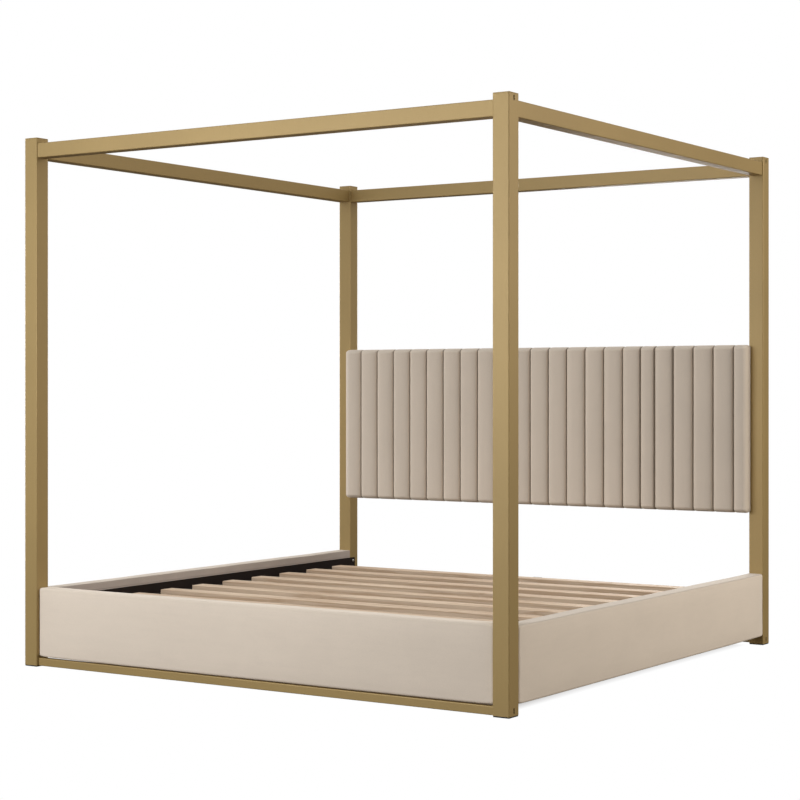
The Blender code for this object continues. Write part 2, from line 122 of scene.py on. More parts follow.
class Shader:
    """A material, or the world's sky, that is built node by node."""

    def __init__(self, name, is_sky=False):
        kept_in = bpy.data.worlds if is_sky else bpy.data.materials
        self.material = kept_in.new(name)
        self.material.use_nodes = True
        self.tree = self.material.node_tree
        self.tree.nodes.clear()

    def node(self, kind, settings=None, values=None, output=0):
        """Adds a node of a type, makes its settings, fills its sockets, and returns an output."""
        made = self.tree.nodes.new(kind)
        for name, setting in (settings or {}).items():
            if name == "stops":
                self.set_stops(made.color_ramp, setting)
            else:
                setattr(made, name, setting)
        for name, value in (values or {}).items():
            socket = made.inputs[name]
            if isinstance(value, Value):
                self.tree.links.new(value.socket, socket)
            elif socket.type == "RGBA" and len(value) == 3:
                socket.default_value = (*value, 1.0)
            else:
                socket.default_value = value
        return Value(self, made.outputs[output]) if len(made.outputs) else None

    @staticmethod
    def set_stops(ramp, stops):
        """Gives a colour ramp its stops, each a place and a colour or a grey."""
        while len(ramp.elements) < len(stops):
            ramp.elements.new(1.0)
        for element, (position, colour) in zip(ramp.elements, stops):
            element.position = position
            if isinstance(colour, float):
                colour = (colour, colour, colour)
            element.color = (*colour, 1.0)

    def place(self):
        """Where a point is on the bed, in metres."""
        return self.node("ShaderNodeTexCoord", output="Object")

    def axis(self, name):
        """One coordinate of that place."""
        return self.node(
            "ShaderNodeSeparateXYZ", values={"Vector": self.place()}, output=name
        )

    def stretched(self, scale, offset=(0.0, 0.0, 0.0)):
        """The place, scaled along each axis, for a grain or a nap."""
        return self.node(
            "ShaderNodeMapping",
            values={"Vector": self.place(), "Scale": scale, "Location": offset},
        )

    def noise(self, scale, detail=3.0, roughness=0.5, distortion=0.0, vector=None):
        """Soft mottling, from 0 to 1."""
        return self.node(
            "ShaderNodeTexNoise",
            values={
                "Vector": vector or self.place(),
                "Scale": scale,
                "Detail": detail,
                "Roughness": roughness,
                "Distortion": distortion,
            },
        )

    def ramp(self, share, stops):
        """A colour read off a row of stops."""
        return self.node("ShaderNodeValToRGB", {"stops": stops}, {"Fac": share})

    def span(self, value, low, high, to_low=0.0, to_high=1.0):
        """A value between two limits, moved to between two others."""
        return self.node(
            "ShaderNodeMapRange",
            {"clamp": True},
            {
                "Value": value,
                "From Min": low,
                "From Max": high,
                "To Min": to_low,
                "To Max": to_high,
            },
        )

    def mix(self, share, first, second):
        """Two colours mixed in the given share."""
        return self.node(
            "ShaderNodeMix",
            {"data_type": "RGBA", "blend_type": "MIX"},
            {0: share, 6: first, 7: second},
            2,
        )

    def tint(self, base, mask, low, high, share, colour):
        """A colour turned towards another, up to a share, as a mask goes from low to high."""
        return self.mix(self.span(mask, low, high, 0.0, share), base, colour)

    def cells(self, scale, randomness=1.0):
        """The distance to the nearest of many scattered points."""
        return self.node(
            "ShaderNodeTexVoronoi",
            {"feature": "F1"},
            {"Vector": self.place(), "Scale": scale, "Randomness": randomness},
        )

    def upward(self):
        """How much the surface looks up, from -1 to 1."""
        normal = self.node("ShaderNodeNewGeometry", output="Normal")
        return self.node("ShaderNodeSeparateXYZ", values={"Vector": normal}, output="Z")

    def bump(self, height, distance, strength):
        """The normal of a surface with that height, in metres."""
        values = {"Height": height, "Distance": distance, "Strength": strength}
        return self.node("ShaderNodeBump", values=values)

    def surface(self, **values):
        """Ends the material in one Principled surface with these sockets."""
        sockets = {name.replace("_", " "): value for name, value in values.items()}
        shader = self.node("ShaderNodeBsdfPrincipled", values=sockets)
        self.node("ShaderNodeOutputMaterial", values={"Surface": shader})
        return self.material


def shade(colour, factor):
    """A colour made lighter or darker."""
    return tuple(min(1.0, channel * factor) for channel in colour)


# --------------------------------------------------------------------- materials


def satin_gold(colour, roughness, metallic):
    """Satin gold paint: fine metal fleck in a lacquer with a slight orange peel."""
    shader = Shader("satin_gold_paint")
    cloud = shader.noise(2.2, detail=2.0)
    fleck = shader.noise(2600.0, detail=2.0, roughness=0.7)
    peel = shader.noise(420.0, detail=3.0)
    drawn = shader.noise(1.0, vector=shader.stretched((260.0, 260.0, 9.0)))
    base = shader.ramp(cloud, [(0.3, shade(colour, 0.95)), (0.7, shade(colour, 1.05))])
    base = shader.tint(base, fleck, 0.45, 0.75, 0.35, shade(colour, 1.45))
    base = shader.tint(base, drawn, 0.5, 0.8, 0.12, shade(colour, 0.8))
    height = peel * 0.7 + fleck * 0.3
    return shader.surface(
        Base_Color=base,
        Metallic=metallic,
        Roughness=shader.span(peel, 0.2, 0.8, roughness - 0.05, roughness + 0.07),
        Normal=shader.bump(height, 0.00012, 0.5),
        Coat_Weight=0.08,
        Coat_Roughness=0.35,
    )


def cream_velvet(name, colour, nap_scale, painted_top_shade):
    """Short pile velvet: a soft sheen, a brushed nap, and a pile that can be seen close up.

    Where it looks up, it is darker by the given share: painted shade on its upper faces.
    """
    shader = Shader(name)
    cloud = shader.noise(3.5, detail=3.0, roughness=0.6, distortion=0.4)
    nap = shader.noise(1.0, detail=4.0, vector=shader.stretched(nap_scale))
    pile = shader.noise(1500.0, detail=3.0, roughness=0.75)
    tuft = shader.cells(900.0)
    base = shader.ramp(
        cloud, [(0.25, shade(colour, 0.96)), (0.75, shade(colour, 1.03))]
    )
    base = shader.tint(base, nap, 0.45, 0.75, 0.2, shade(colour, 0.88))
    base = shader.tint(base, pile, 0.5, 0.85, 0.4, shade(colour, 1.16))
    base = shader.tint(base, tuft, 0.35, 0.75, 0.3, shade(colour, 0.72))
    # painted shade: the colour is darker where the surface looks up
    base = shader.tint(base, shader.upward(), 0.15, 0.85, painted_top_shade, shade(colour, 0.3))
    height = pile * 0.6 + nap * 0.4
    return shader.surface(
        Base_Color=base,
        Roughness=shader.span(cloud, 0.2, 0.8, 0.82, 0.95),
        Normal=shader.bump(height, 0.0004, 0.35),
        Sheen_Weight=0.3,
        Sheen_Roughness=0.45,
        Sheen_Tint=(1.0, 0.93, 0.86, 1.0),
        Specular_IOR_Level=0.2,
    )


def lining_cloth_painted_shade(name, colour):
    """Thin bonded lining cloth: pressed dots over a felted web. The darker colour it is given is
    painted shade on the inner faces it covers.
    """
    shader = Shader(name)
    web = shader.noise(700.0, detail=4.0, roughness=0.7)
    cloud = shader.noise(9.0, detail=3.0)
    dots = shader.cells(520.0, 0.15)
    base = shader.ramp(cloud, [(0.3, shade(colour, 0.95)), (0.7, shade(colour, 1.04))])
    base = shader.tint(base, web, 0.4, 0.8, 0.4, shade(colour, 1.3))
    base = shader.mix(shader.span(dots, 0.3, 0.5, 0.35, 0.0), base, shade(colour, 0.6))
    return shader.surface(
        Base_Color=base,
        Roughness=shader.span(web, 0.2, 0.8, 0.8, 0.95),
        Normal=shader.bump(web * 0.5 + dots * 0.5, 0.0003, 0.4),
        Specular_IOR_Level=0.15,
    )


def planed_wood(name, light, dark, along, pitch, painted_upright_shade_share):
    """Planed wood whose grain runs along one axis, with a shade of its own for each slat.

    The upright faces are darker than the faces that look up or down by the given share: painted
    shade on the slats' sides.
    """
    shader = Shader(name)
    fine = [900.0, 900.0, 900.0]
    broad = [34.0, 34.0, 34.0]
    fine[along] = 14.0
    broad[along] = 1.3
    rings = shader.noise(
        1.0, 4.0, 0.55, 0.7, vector=shader.stretched(tuple(broad), (0.3, 0.1, 0.7))
    )
    pores = shader.noise(1.0, 3.0, 0.6, vector=shader.stretched(tuple(fine)))
    middle = shade(light, 0.86)
    base = shader.ramp(
        rings, [(0.3, light), (0.47, middle), (0.55, dark), (0.62, middle), (0.8, light)]
    )
    base = shader.tint(base, pores, 0.52, 0.8, 0.5, shade(dark, 0.72))
    number = (shader.axis("Y") / pitch + 0.5).floor()
    own = shader.node("ShaderNodeTexWhiteNoise", {"noise_dimensions": "1D"}, {"W": number})
    base = shader.tint(base, own, 0.0, 1.0, 0.3, shade(dark, 1.05))
    # painted shade: faces that stand upright are darker than those that look up or down
    upright_painted_shade = shader.span(shader.upward().size(), 0.2, 0.8, painted_upright_shade_share, 0.0)
    base = shader.mix(upright_painted_shade, base, shade(dark, 0.8))
    return shader.surface(
        Base_Color=base,
        Roughness=shader.span(pores, 0.2, 0.8, 0.55, 0.75),
        Normal=shader.bump(pores * 0.6 + rings * 0.4, 0.0004, 0.4),
        Specular_IOR_Level=0.3,
    )


def black_steel(colour):
    """Matt black powder coat, finely textured."""
    shader = Shader("black_powder_coat")
    grain = shader.noise(1800.0, detail=2.0, roughness=0.6)
    dust = shader.noise(7.0, detail=4.0)
    base = shader.tint(colour, dust, 0.45, 0.75, 0.35, shade(colour, 1.8))
    return shader.surface(
        Base_Color=base,
        Roughness=shader.span(grain, 0.2, 0.8, 0.5, 0.7),
        Normal=shader.bump(grain, 0.00015, 0.5),
        Specular_IOR_Level=0.15,
    )


def zinc_plate(colour):
    """Bright zinc plate with the passing marks of barrel plating."""
    shader = Shader("zinc_plate")
    cloud = shader.noise(160.0, detail=4.0, roughness=0.65)
    scratch = shader.noise(1.0, vector=shader.stretched((90.0, 1400.0, 1400.0)))
    base = shader.ramp(cloud, [(0.3, shade(colour, 0.82)), (0.7, shade(colour, 1.08))])
    return shader.surface(
        Base_Color=base,
        Metallic=1.0,
        Roughness=shader.span(cloud, 0.25, 0.75, 0.26, 0.46),
        Normal=shader.bump(scratch, 0.00005, 0.4),
    )


def moulded_plastic(colour):
    """Black moulded plastic with a spark eroded texture."""
    shader = Shader("black_moulded_plastic")
    grain = shader.noise(1300.0, detail=3.0, roughness=0.6)
    scuff = shader.noise(45.0, detail=4.0)
    base = shader.tint(colour, scuff, 0.55, 0.8, 0.5, shade(colour, 2.2))
    return shader.surface(
        Base_Color=base,
        Roughness=shader.span(grain, 0.2, 0.8, 0.45, 0.65),
        Normal=shader.bump(grain, 0.0001, 0.5),
    )


# ------------------------------------------------------------------------ meshes


def finish_node(name, material, edge, segments=2):
    """Gives a frame part its material and, with modifiers only, slightly rounded edges."""
    part = frame["nodes"][name]
    part.data.materials.clear()
    part.data.materials.append(material)
    weld = part.modifiers.new("Joined", "WELD")
    weld.merge_threshold = 0.00002
    flat = part.modifiers.new("Plain faces", "DECIMATE")
    flat.decimate_type = "DISSOLVE"
    flat.angle_limit = math.radians(0.5)
    if edge > 0.0:
        bevel = part.modifiers.new("Rounded edges", "BEVEL")
        bevel.width = edge
        bevel.segments = segments
        bevel.limit_method = "ANGLE"
        bevel.angle_limit = math.radians(40.0)
        bevel.harden_normals = True


def add_piece(name, mesh, material, replaces=()):
    """Adds a new piece to the bed, with its finish, its body and what it stands for."""
    piece = bpy.data.objects.new(name, mesh)
    bpy.context.scene.collection.objects.link(piece)
    mesh.materials.append(material)
    mesh.shade_smooth()
    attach(piece, BODY)
    if replaces:
        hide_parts(*replaces)
    return piece


def steps(low, high, step):
    """Even steps from low to high, both included."""
    count = max(1, round((high - low) / step))
    return [low + (high - low) * i / count for i in range(count + 1)]


def edge_steps(low, high, step, close, depth):
    """Steps from low to high that are closer together within a depth of each end."""
    inner = steps(low + depth, high - depth, step)
    first = steps(low, low + depth, close)
    last = steps(high - depth, high, close)
    return first[:-1] + inner + last[1:]


def block_skin(xs, ys, zs):
    """The closed skin of a block, as points and faces, with lines at the given places."""
    points = {}
    faces = []

    def point(i, j, k):
        return points.setdefault((i, j, k), len(points))

    last = (len(xs) - 1, len(ys) - 1, len(zs) - 1)

    def side(fixed, at, flip):
        u, v = [axis for axis in range(3) if axis != fixed]
        for a in range(last[u]):
            for b in range(last[v]):
                corners = []
                for da, db in ((0, 0), (1, 0), (1, 1), (0, 1)):
                    index = [0, 0, 0]
                    index[fixed] = at
                    index[u] = a + da
                    index[v] = b + db
                    corners.append(point(*index))
                faces.append(corners[::-1] if flip else corners)

    for fixed in range(3):
        odd = fixed == 1
        side(fixed, 0, not odd)
        side(fixed, last[fixed], odd)
    places = np.array([(xs[i], ys[j], zs[k]) for i, j, k in points])
    return places, faces


def rounded(places, low, high, radius):
    """Rounds the edges of a block's skin. The radius may be one number for each point."""
    radius = np.broadcast_to(np.asarray(radius, float), len(places))[:, None]
    inner = np.clip(places, np.array(low) + radius, np.array(high) - radius)
    out = places - inner
    length = np.maximum(np.linalg.norm(out, axis=1, keepdims=True), 1e-9)
    return inner + out / length * radius, out / length


def smooth_share(values, low, high):
    """0 below low, 1 above high, and an even ease between them."""
    share = np.clip((values - low) / (high - low), 0.0, 1.0)
    return share * share * (3.0 - 2.0 * share)


def ripple(places, scale, seed):
    """A smooth random height at each point, about -1 to 1, from a few waves."""
    rng = np.random.default_rng(seed)
    total = np.zeros(len(places))
    for _ in range(9):
        direction = rng.normal(size=3) * np.asarray(scale)
        total += np.sin(places @ direction + rng.uniform(0.0, 2.0 * math.pi))
    return total / 4.5


def mesh_of(name, places, faces):
    """A mesh from points and faces."""
    mesh = bpy.data.meshes.new(name)
    mesh.from_pydata([tuple(p) for p in places], [], faces)
    mesh.validate()
    return mesh


def let_swell(cover, held, pressure, most):
    """Lets a cover swell as cloth over its padding, with its seams and turned edges held.

    No point moves further than the given distance, and the result becomes the cover's shape.
    """
    scene = bpy.context.scene
    count = len(cover.data.vertices)
    before = np.empty(count * 3)
    cover.data.vertices.foreach_get("co", before)
    group = cover.vertex_groups.new(name="held")
    group.add([int(number) for number in np.flatnonzero(held)], 1.0, "REPLACE")
    cloth = cover.modifiers.new("Padding", "CLOTH")
    cloth.settings.quality = 2
    cloth.settings.mass = 0.25
    cloth.settings.vertex_group_mass = "held"
    cloth.settings.use_pressure = True
    cloth.settings.uniform_pressure_force = pressure
    cloth.settings.effector_weights.gravity = 0.0
    cloth.collision_settings.use_collision = False
    for number in range(1, SWELL_FRAMES + 1):
        scene.frame_set(number)
    swollen = cover.evaluated_get(bpy.context.evaluated_depsgraph_get()).data
    after = np.empty(count * 3)
    swollen.vertices.foreach_get("co", after)
    cover.modifiers.remove(cloth)
    cover.vertex_groups.remove(group)
    scene.frame_set(1)
    moved = (after - before).reshape(-1, 3)
    length = np.linalg.norm(moved, axis=1, keepdims=True)
    if not np.isfinite(length).all() or length.max() < 1e-6:
        raise RuntimeError(f"{cover.name} did not swell")
    shape = before.reshape(-1, 3) + moved * most / (most + length)
    cover.data.vertices.foreach_set("co", shape.ravel())
    cover.data.update()


# -------------------------------------------------------------------- properties


def colour_setting(name, description, default):
    """A colour."""
    return bpy.props.FloatVectorProperty(
        name=name, description=description, subtype="COLOR", size=3, min=0.0, max=1.0,
        default=default,
    )


def length_setting(name, description, default, low, high):
    """A length in metres, between two limits."""
    return bpy.props.FloatProperty(
        name=name, description=description, unit="LENGTH", default=default, min=low, max=high
    )


def share_setting(name, description, default, low=0.0, high=1.0):
    """A share, between two limits."""
    return bpy.props.FloatProperty(
        name=name, description=description, subtype="FACTOR", default=default, min=low, max=high
    )


def power_setting(name, description, default):
    """The power of a light, in watts."""
    return bpy.props.FloatProperty(
        name=name, description=description, default=default, min=0.0
    )


class BedFrameSettings(bpy.types.PropertyGroup):
    """Finish of the painted and bare metal parts."""

    gold: colour_setting(
        "Gold paint", "Colour of the posts, canopy rails and floor bars", (0.395, 0.272, 0.104)
    )
    gold_roughness: share_setting("Gold roughness", "How matt the gold paint is", 0.5, 0.1, 0.9)
    gold_metallic: share_setting("Metal share", "Share of metal fleck in the gold paint", 0.3)
    black: colour_setting(
        "Black powder coat",
        "Colour of the side rails, centre beam and brackets",
        (0.014, 0.008, 0.006),
    )
    zinc: colour_setting("Zinc plate", "Colour of the bolts and washers", (0.62, 0.61, 0.58))
    plastic: colour_setting(
        "Plastic", "Colour of the glides and screw feet", (0.016, 0.016, 0.017)
    )
    tube_edge: length_setting(
        "Tube edge", "Radius of the outer edges of the square tubes", 0.0007, 0.0, 0.003
    )
    rail_edge: length_setting(
        "Rail end edge", "Radius of the edges where a canopy rail meets a post", 0.0012, 0.0, 0.003
    )


class BedWoodSettings(bpy.types.PropertyGroup):
    """Finish of the slats."""

    slat_light: colour_setting("Slat wood", "Light part of the slats' grain", (0.90, 0.71, 0.53))
    slat_dark: colour_setting("Slat grain", "Dark part of the slats' grain", (0.56, 0.385, 0.25))
    # painted shade on the slats' upright faces
    painted_upright_shade_share: share_setting(
        "Sawn edges", "How much darker the slats' sawn edges are than their planed faces", 0.4
    )
    slat_edge: length_setting("Slat edge", "Radius of the slats' planed edges", 0.0018, 0.0, 0.005)


class BedUpholsterySettings(bpy.types.PropertyGroup):
    """Shape and finish of the velvet panels and headboard."""

    velvet: colour_setting("Velvet", "Colour of the velvet", (0.85, 0.735, 0.615))
    # partly painted shade: the lining is darker than the velvet, standing in for the shade on the
    # panels' inner faces
    lining: colour_setting(
        "Lining", "Colour of the lining cloth on the panels' inner faces", (0.56, 0.48, 0.43)
    )
    edge_radius: length_setting(
        "Front edge radius",
        "How far the padding rounds over at a panel's long outer edges",
        0.0055, 0.004, 0.03,
    )
    end_radius: length_setting(
        "End radius", "How far the padding rounds over at a panel's ends", 0.009, 0.004, 0.03
    )
    crown: length_setting(
        "Crown", "How far the middle of a panel stands proud of its ends", 0.004, 0.0, 0.012
    )
    fullness: bpy.props.FloatProperty(
        name="Fullness",
        description="Pressure of the padding under the velvet",
        default=4.0,
        min=0.0,
        max=20.0,
    )
    swell: length_setting(
        "Swell", "The most that the padding may swell the velvet", 0.003, 0.0005, 0.01
    )
    sag: length_setting(
        "Sag", "How far the padding hangs below its board's lower edge", 0.0016, 0.0, 0.004
    )
    foot_reach: length_setting(
        "Foot panel reach",
        "How far the foot panel's padding bulges past its board towards each post",
        0.0034, 0.0, 0.0036,
    )
    pitch: length_setting(
        "Channel pitch",
        "Distance from one sewn channel of the headboard to the next",
        0.0899, 0.05, 0.2,
    )
    first_seam: bpy.props.FloatProperty(
        name="First seam",
        description="Where the headboard's first seam is, from the middle of the bed",
        unit="LENGTH",
        default=-0.9077,
    )
    narrow_after: bpy.props.IntProperty(
        name="Narrow channel",
        description="How many full channels come between the first seam and the narrow one",
        default=16,
        min=0,
        max=20,
    )
    narrow_width: length_setting(
        "Narrow width",
        "Width of the one narrow channel, where two lengths of fabric meet",
        0.065, 0.02, 0.09,
    )
    beside_width: length_setting(
        "Width beside it",
        "Width of the channels on each side of the narrow one",
        0.0855, 0.02, 0.2,
    )
    seam_depth: length_setting(
        "Seam depth", "How deep the seams pull into the headboard's padding", 0.030, 0.005, 0.034
    )
    end_inset: length_setting(
        "Left end inset", "How far the padding of the left end pulls in", 0.009, 0.0, 0.02
    )
    notch: length_setting(
        "Notch", "How far a seam dips below the headboard's top edge", 0.005, 0.0, 0.01
    )


class BedStageSettings(bpy.types.PropertyGroup):
    """Camera and light."""

    camera_place: bpy.props.FloatVectorProperty(
        name="Camera",
        description="Where the camera stands",
        subtype="TRANSLATION",
        unit="LENGTH",
        size=3,
        default=(4.10385, -6.33184, 1.05811),
    )
    camera_turn: bpy.props.FloatProperty(
        name="Camera turn",
        description="How far the level camera is turned from looking along the bed",
        subtype="ANGLE",
        default=math.radians(33.315),
    )
    lens: bpy.props.FloatProperty(
        name="Lens",
        description="Focal length on a 36 mm sensor",
        unit="CAMERA",
        default=85.79,
        min=20.0,
        max=200.0,
    )
    drop: bpy.props.FloatProperty(
        name="Camera drop",
        description="Shift of the view, as a share of its width",
        default=-0.0166,
        min=-0.1,
        max=0.1,
    )
    front: power_setting("Front light", "Power of the large soft light in front", 128.0)
    left: power_setting(
        "Left light", "Power of the large soft light at the left, beside the headboard", 270.0
    )
    right: power_setting("Right light", "Power of the large soft light at the right", 130.0)
    back: power_setting("Back light", "Power of the large soft light behind the bed", 190.0)


# --------------------------------------------------------------------- operators


def nodes_in_slot(slot):
    """The frame parts whose first material is that slot of the record."""
    return sorted(
        name
        for name, part in frame["nodes"].items()
        if part.data.materials and part.data.materials[0].name.split(".")[0] == slot
    )


PARTS_BY_SLOT = {
    row["slot"]: nodes_in_slot(row["slot"]) for row in frame["record"]["materials"]
}


class BED_OT_gold_frame(bpy.types.Operator):
    """Paints the posts, caps, canopy rails and floor bars gold"""

    bl_idname = "bed.gold_frame"
    bl_label = "Gold frame"

    def execute(self, context):
        settings = context.scene.bed_frame
        paint = satin_gold(
            tuple(settings.gold), settings.gold_roughness, settings.gold_metallic
        )
        for name in PARTS_BY_SLOT["gold_paint"]:
            edge = settings.rail_edge if "canopy_rail" in name else settings.tube_edge
            finish_node(name, paint, edge)
        return {"FINISHED"}


class BED_OT_black_metalwork(bpy.types.Operator):
    """Finishes the side rails, ledge, cross rail, beam, legs and brackets in black"""

    bl_idname = "bed.black_metalwork"
    bl_label = "Black metalwork"

    def execute(self, context):
        coat = black_steel(tuple(context.scene.bed_frame.black))
        for name in PARTS_BY_SLOT["black_steel"]:
            finish_node(name, coat, 0.0005)
        return {"FINISHED"}


class BED_OT_small_fittings(bpy.types.Operator):
    """Finishes the bolts in zinc and the glides and screw feet in black plastic"""

    bl_idname = "bed.small_fittings"
    bl_label = "Small fittings"

    def execute(self, context):
        settings = context.scene.bed_frame
        zinc = zinc_plate(tuple(settings.zinc))
        plastic = moulded_plastic(tuple(settings.plastic))
        for name in PARTS_BY_SLOT["zinc_steel"]:
            finish_node(name, zinc, 0.0003)
        for name in PARTS_BY_SLOT["black_plastic"]:
            finish_node(name, plastic, 0.0005)
        return {"FINISHED"}


def turned(rings, sides=24):
    """A turned part about the Z axis, from rings of radius, height and shape.

    A ring is round, or "hex" for the mouth and floor of a hexagon socket.
    """
    places = []
    faces = []
    for radius, height, shape in rings:
        for number in range(sides):
            turn = 2.0 * math.pi * number / sides
            reach = radius
            if shape == "hex":
                reach = radius * math.cos(math.pi / 6)
                reach /= math.cos(turn % (math.pi / 3) - math.pi / 6)
            places.append((reach * math.cos(turn), reach * math.sin(turn), height))
    for ring in range(len(rings) - 1):
        for number in range(sides):
            after = (number + 1) % sides
            low, high = ring * sides, (ring + 1) * sides
            faces.append((low + number, low + after, high + after, high + number))
    faces.append(tuple(reversed(range(sides))))
    faces.append(tuple(range((len(rings) - 1) * sides, len(rings) * sides)))
    return places, faces


def button_screw(size, washer):
    """A button head screw with a hexagon socket, on a washer, sized by its thread."""
    head, tall, socket = size * 0.875, size * 0.55, size * 0.36
    rings = [(size * 0.48, -0.0004, "round")]
    foot = 0.0
    if washer:
        foot = size * 0.16
        rings += [
            (size * 1.02, 0.0, "round"),
            (size * 1.06, foot * 0.3, "round"),
            (size * 1.04, foot, "round"),
        ]
    rings += [
        (head, foot + 0.0001, "round"),
        (head, foot + tall * 0.18, "round"),
        (head * 0.88, foot + tall * 0.58, "round"),
        (head * 0.66, foot + tall * 0.88, "round"),
        (head * 0.5, foot + tall, "round"),
        (socket * 1.06, foot + tall, "hex"),
        (socket, foot + tall * 0.94, "hex"),
        (socket, foot + tall * 0.35, "hex"),
        (socket * 0.3, foot + tall * 0.28, "round"),
    ]
    return turned(rings)


def staple(length, wire):
    """A flat wire staple's crown along the X axis, with its two ends going down."""
    half, side, low, top = length / 2, wire / 2, -0.0006, wire * 0.55
    bevel = wire * 0.25
    outline = [(-half, low), (-half, top - bevel), (-half + bevel, top)]
    outline += [(-x, z) for x, z in reversed(outline)]
    places = [(x, y, z) for y in (-side, side) for x, z in outline]
    count = len(outline)
    faces = [tuple(range(count)), tuple(reversed(range(count, 2 * count)))]
    for number in range(count):
        after = (number + 1) % count
        faces.append((number, number + count, after + count, after))
    return places, faces


def set_many(name, part, stations, material):
    """One piece made of copies of a part, each turned to face a way and set in its place.

    A station is a place, the way the part's Z axis faces, and the way its X axis lies.
    """
    places, faces = [], []
    for place, way, along in stations:
        z_axis = Vector(way).normalized()
        x_axis = Vector(along).normalized()
        turn = Matrix((x_axis, z_axis.cross(x_axis), z_axis)).transposed()
        first = len(places)
        places += [turn @ Vector(point) + Vector(place) for point in part[0]]
        faces += [tuple(first + corner for corner in face) for face in part[1]]
    piece = add_piece(name, mesh_of(name, places, faces), material)
    piece.data.shade_flat()
    round_off = piece.modifiers.new("Smooth turns", "BEVEL")
    round_off.width = 0.00012
    round_off.segments = 1


class BED_OT_fixings(bpy.types.Operator):
    """Adds the rail bolts, bracket screws and upholstery staples"""

    bl_idname = "bed.fixings"
    bl_label = "Bolts, screws and staples"

    def execute(self, context):
        zinc = zinc_plate(tuple(context.scene.bed_frame.zinc))
        zinc.name = "zinc_fixings"
        for side, sign in SIDES.items():
            inward = (-sign, 0.0, 0.0)
            post_low, post_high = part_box(f"head_{side}_post")
            face = (post_low.x if sign > 0 else post_high.x) - sign * 0.0028
            bolts = [
                ((face, 1.0235, 0.228 + lift), inward, (0.0, 1.0, 0.0))
                for lift in (-0.015, 0.015)
            ]
            set_many(f"{side}_rail_bolts", button_screw(SCREW_THREAD, True), bolts, zinc)
            self.bracket_screws(side, sign, zinc)
        self.pad_staples(zinc)
        return {"FINISHED"}

    def bracket_screws(self, side, sign, zinc):
        """Screws that hold the headboard's two brackets on one side to the post and board."""
        stations = []
        names = sorted(
            name for name in frame["nodes"] if "bracket" in name and side in name
        )
        if len(names) != 2:
            raise RuntimeError(f"expected two brackets on the {side}, found {names}")
        for name in names:
            low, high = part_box(name)
            level = (low.z + high.z) / 2
            post_face = low.x if sign < 0 else high.x
            on_post = (post_face - sign * 0.0025, 1.0311, level)
            on_board = (sign * 0.9587, low.y + 0.0025, level)
            stations.append((on_post, (-sign, 0.0, 0.0), (0.0, 1.0, 0.0)))
            stations.append((on_board, (0.0, 1.0, 0.0), (1.0, 0.0, 0.0)))
        set_many(f"{side}_bracket_screws", button_screw(SCREW_THREAD, False), stations, zinc)

    def pad_staples(self, zinc):
        """Staples that hold the velvet's turned edges behind the headboard and the panels."""
        low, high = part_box("headboard_pad")
        board_low, board_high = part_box("headboard_board")
        backward = (0.0, 1.0, 0.0)
        stations = []
        for x in steps(low.x + 0.03, high.x - 0.03, STAPLE_PITCH):
            for z in ((low.z + board_low.z) / 2, (high.z + board_high.z) / 2):
                stations.append(((x, high.y, z), backward, (1.0, 0.0, 0.0)))
        for z in steps(low.z + 0.04, high.z - 0.04, STAPLE_PITCH):
            for x in ((low.x + board_low.x) / 2, (high.x + board_high.x) / 2):
                stations.append(((x, high.y, z), backward, (0.0, 0.0, 1.0)))
        set_many("headboard_staples", staple(STAPLE_LENGTH, STAPLE_WIRE), stations, zinc)
        for side, sign in SIDES.items():
            pad_low, pad_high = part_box(f"{side}_side_pad")
            board_low, board_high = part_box(f"{side}_side_board")
            face = pad_low.x if sign > 0 else pad_high.x
            level = (pad_low.z + board_low.z) / 2
            stations = [
                ((face, y, level), (-sign, 0.0, 0.0), (0.0, 1.0, 0.0))
                for y in steps(pad_low.y + 0.03, pad_high.y - 0.03, STAPLE_PITCH)
            ]
            set_many(f"{side}_panel_staples", staple(STAPLE_LENGTH, STAPLE_WIRE), stations, zinc)


class BED_OT_slats(bpy.types.Operator):
    """Finishes the slats in planed light wood with softened edges"""

    bl_idname = "bed.slats"
    bl_label = "Slats"

    def execute(self, context):
        settings = context.scene.bed_wood
        names = PARTS_BY_SLOT["pine"]
        middles = sorted((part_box(n)[0].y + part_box(n)[1].y) / 2 for n in names)
        pitch = middles[1] - middles[0]
        wood = planed_wood(
            "planed_slat_wood",
            tuple(settings.slat_light),
            tuple(settings.slat_dark),
            along=0,
            pitch=pitch,
            painted_upright_shade_share=settings.painted_upright_shade_share,
        )
        for name in names:
            finish_node(name, wood, settings.slat_edge, segments=3)
        return {"FINISHED"}


class BED_OT_boards(bpy.types.Operator):
    """Covers the plywood boards behind the padding with the darker lining cloth, partly painted
    shade
    """

    bl_idname = "bed.boards"
    bl_label = "Plywood boards"

    def execute(self, context):
        lining = lining_cloth_painted_shade("board_lining", tuple(context.scene.bed_upholstery.lining))
        for name in PARTS_BY_SLOT["plywood"]:
            finish_node(name, lining, 0.0006)
        return {"FINISHED"}


